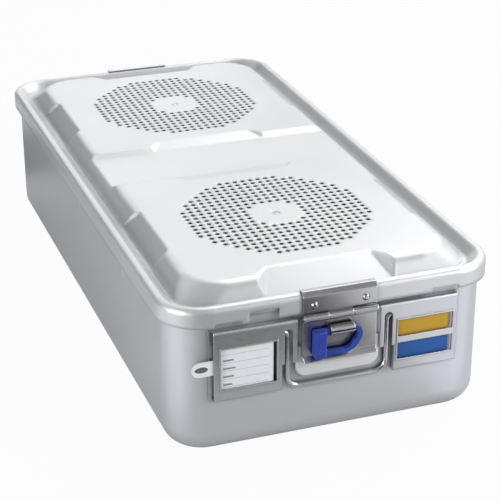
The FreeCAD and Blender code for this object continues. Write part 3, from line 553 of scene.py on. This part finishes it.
def shade_at(source, triangles, found, face):
    """Normal of the source's shading at a point, from the triangle that lies flattest on a face."""
    place, _, index, _ = max(found, key=lambda hit: triangles[hit[2]].normal.dot(face.normal))
    triangle = triangles[index]
    if triangle.normal.dot(face.normal) < SAME_PLANE:
        return face.normal
    corners = [source.vertices[i].co for i in triangle.vertices]
    shades = [source.corner_normals[i].vector for i in triangle.loops]
    shade = barycentric_transform(place, *corners, *shades)
    return shade.normalized() if shade.dot(face.normal) > LEAST_AGREEMENT else face.normal


def keep_normals(piece, original):
    """Gives a cut copy the smooth shading of the piece that it was cut from."""
    source = original.data
    source.calc_loop_triangles()
    triangles = source.loop_triangles
    search = BVHTree.FromPolygons([vertex.co for vertex in source.vertices],
                                  [triangle.vertices for triangle in triangles])
    normals = []
    for face in piece.data.polygons:
        face.use_smooth = True
        for index in face.vertices:
            probe = piece.data.vertices[index].co.lerp(face.center, PROBE_SHIFT)
            found = search.find_nearest_range(probe, PROBE_REACH)
            normals.append(shade_at(source, triangles, found, face) if found else face.normal)
    piece.data.normals_split_custom_set(normals)


def on_cut(face, centre_y):
    """Whether a face is a wall that the cut left round a field's square."""
    place = face.calc_center_median()
    across = max(abs(place.x), abs(place.y - centre_y))
    return abs(face.normal.z) < UPRIGHT_LIMIT and abs(across - PANEL_HALF) < PROBE_REACH


def on_rim(face):
    """Whether a face lies on the lid's rim or in its band, outside the gutter's foot."""
    place = face.calc_center_median()
    inset = min(LID_HALF_WIDTH - abs(place.x), LID_HALF_LENGTH - abs(place.y))
    return inset < RIM_INSET


def lid_copy(lid):
    """Linked copy of the lid's own mesh, free of the lid's place in the frame."""
    sheet = lid.copy()
    sheet.data = lid.data.copy()
    sheet.name = "vented_lid"
    sheet.parent = None
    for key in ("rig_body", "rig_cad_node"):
        if key in sheet:
            del sheet[key]
    bpy.context.scene.collection.objects.link(sheet)
    return sheet


def cut_opening(sheet, centre_y):
    """Cuts a field's square, slots and all, out of the lid's sheet."""
    block = opening_block(centre_y)
    cut = sheet.modifiers.new("opening", "BOOLEAN")
    cut.operation = "DIFFERENCE"
    cut.solver = "EXACT"
    cut.object = block
    apply_modifiers(sheet)
    bpy.data.objects.remove(block)


def join_panels(sheet, panels):
    """Mesh of the cut sheet, less the walls of its cuts, with the panels set in."""
    joined = bmesh.new()
    joined.from_mesh(sheet.data)
    walls = [face for face in joined.faces if on_cut(face, -FIELD_Y) or on_cut(face, FIELD_Y)]
    bmesh.ops.delete(joined, geom=walls, context="FACES")
    for face in joined.faces:
        face.material_index = RIM if on_rim(face) else PLAIN_SHEET
    sheet_faces = len(joined.faces)
    for panel in panels:
        joined.from_mesh(panel.data)
        bpy.data.objects.remove(panel)
    joined.faces.ensure_lookup_table()
    for face in joined.faces[sheet_faces:]:
        face.material_index = VENTED_PANELS
    data = bpy.data.meshes.new("vented_lid")
    joined.to_mesh(data)
    joined.free()
    return data


def vented_lid(lid, finishes):
    """The lid's own sheet with both fields of round holes in place of the slots."""
    sheet = lid_copy(lid)
    panels = []
    for centre_y in (-FIELD_Y, FIELD_Y):
        cut_opening(sheet, centre_y)
        panels.append(vented_panel(centre_y))
    sheet.data = join_panels(sheet, panels)
    sheet.data.materials.clear()
    for name in ("lid_aluminium", "lid_vents", "lid_rim"):
        sheet.data.materials.append(finishes[name])
    keep_normals(sheet, lid)
    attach(sheet, "lid_body")
    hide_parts("lid")


def dress(frame, finishes):
    """Gives every CAD piece its finish."""
    for part in frame["record"]["subparts"]:
        piece = frame["nodes"][part["node"]]
        for index in range(len(piece.material_slots)):
            piece.material_slots[index].material = finishes[part["material_slot"]]


def camera():
    """Camera at the photograph's place and angle."""
    forward = Vector((math.sin(CAMERA_YAW) * math.cos(CAMERA_PITCH),
                      math.cos(CAMERA_YAW) * math.cos(CAMERA_PITCH),
                      -math.sin(CAMERA_PITCH)))
    level = Vector((math.cos(CAMERA_YAW), -math.sin(CAMERA_YAW), 0))
    upward = level.cross(forward)
    right = level * math.cos(CAMERA_ROLL) + upward * math.sin(CAMERA_ROLL)
    up = upward * math.cos(CAMERA_ROLL) - level * math.sin(CAMERA_ROLL)
    data = bpy.data.cameras.new("camera")
    data.lens = CAMERA_LENS_MM
    data.sensor_width = CAMERA_SENSOR_MM
    data.shift_x, data.shift_y = CAMERA_SHIFT
    made = bpy.data.objects.new("camera", data)
    turn = Matrix((right, up, -forward)).transposed().to_4x4()
    made.matrix_world = Matrix.Translation(CAMERA_AT) @ turn
    bpy.context.scene.collection.objects.link(made)
    bpy.context.scene.camera = made


def seen_directly(tree):
    """One for camera, glossy and transmission rays, zero for the rest."""
    rays = tree.nodes.new("ShaderNodeLightPath")
    seen = arithmetic(tree, "MAXIMUM", rays.outputs["Is Camera Ray"], rays.outputs["Is Glossy Ray"])
    return arithmetic(tree, "MAXIMUM", seen, rays.outputs["Is Transmission Ray"])


def backdrop():
    """White surroundings, with plainer light from them on matt surfaces."""
    world = bpy.data.worlds.new("studio")
    bpy.context.scene.world = world
    world.use_nodes = True
    tree = world.node_tree
    tree.nodes.clear()
    out = tree.nodes.new("ShaderNodeOutputWorld")
    back = tree.nodes.new("ShaderNodeBackground")
    level = arithmetic(tree, "MULTIPLY", seen_directly(tree), 1 - SKY_LEVEL)
    tree.links.new(arithmetic(tree, "ADD", level, SKY_LEVEL), back.inputs["Strength"])
    back.inputs["Color"].default_value = (1, 1, 1, 1)
    tree.links.new(back.outputs["Background"], out.inputs["Surface"])


def floor():
    """Large pale floor that keeps the container's soft shadow and shows dark in reflections."""
    mesh = bmesh.new()
    bmesh.ops.create_grid(mesh, x_segments=1, y_segments=1, size=FLOOR_HALF)
    made = object_from(mesh, "floor")
    finish = bpy.data.materials.new("floor_white")
    finish.use_nodes = True
    tree = finish.node_tree
    tree.nodes.clear()
    out = tree.nodes.new("ShaderNodeOutputMaterial")
    matt = tree.nodes.new("ShaderNodeBsdfDiffuse")
    matt.inputs["Color"].default_value = (*FLOOR_COLOUR, 1)
    glow = tree.nodes.new("ShaderNodeEmission")
    glow.inputs["Strength"].default_value = 1.0
    blend = tree.nodes.new("ShaderNodeMixShader")
    rays = tree.nodes.new("ShaderNodeLightPath")
    mirrored = arithmetic(tree, "MULTIPLY", seen_directly(tree), FLOOR_MIRRORED_GLOW)
    direct = arithmetic(tree, "MULTIPLY", rays.outputs["Is Camera Ray"], FLOOR_GLOW)
    tree.links.new(arithmetic(tree, "MAXIMUM", mirrored, direct), blend.inputs["Fac"])
    tree.links.new(matt.outputs["BSDF"], blend.inputs[1])
    tree.links.new(glow.outputs["Emission"], blend.inputs[2])
    tree.links.new(blend.outputs["Shader"], out.inputs["Surface"])
    made.data.materials.append(finish)


def facing(place, aim):
    """Place and turn of something at one point that faces another."""
    turn = (Vector(aim) - Vector(place)).to_track_quat("-Z", "Y")
    return Matrix.Translation(place) @ turn.to_matrix().to_4x4()


def card(name, place, aim, size, grey):
    """Matt grey card that only reflections show, as a studio has round metal."""
    mesh = bmesh.new()
    flat = Matrix.Diagonal((*size, 1, 1))
    bmesh.ops.create_grid(mesh, x_segments=1, y_segments=1, size=UNIT_HALF, matrix=flat)
    made = object_from(mesh, name)
    made.matrix_world = facing(place, aim)
    finish = bpy.data.materials.new(name)
    finish.use_nodes = True
    shader = finish.node_tree.nodes["Principled BSDF"]
    shader.inputs["Base Color"].default_value = (grey, grey, grey * CARD_BLUENESS, 1)
    shader.inputs["Roughness"].default_value = CARD_ROUGHNESS
    made.data.materials.append(finish)
    made.visible_camera = False
    made.visible_diffuse = False
    made.visible_shadow = False


def lamp(name, place, aim, side, watts):
    """Square soft lamp that faces a point."""
    data = bpy.data.lights.new(name, "AREA")
    data.shape = "SQUARE"
    data.size = side
    data.energy = watts
    made = bpy.data.objects.new(name, data)
    made.matrix_world = facing(place, aim)
    bpy.context.scene.collection.objects.link(made)


def studio():
    """Surroundings, floor, lamps and the cards that shape what the metal reflects."""
    backdrop()
    floor()
    for row in LAMPS:
        lamp(*row)
    for row in CARDS:
        card(*row)


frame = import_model()
finishes = make_materials()
dress(frame, finishes)
vented_lid(frame["nodes"]["lid"], finishes)
camera()
studio()
bpy.context.scene.view_settings.view_transform = "Standard"
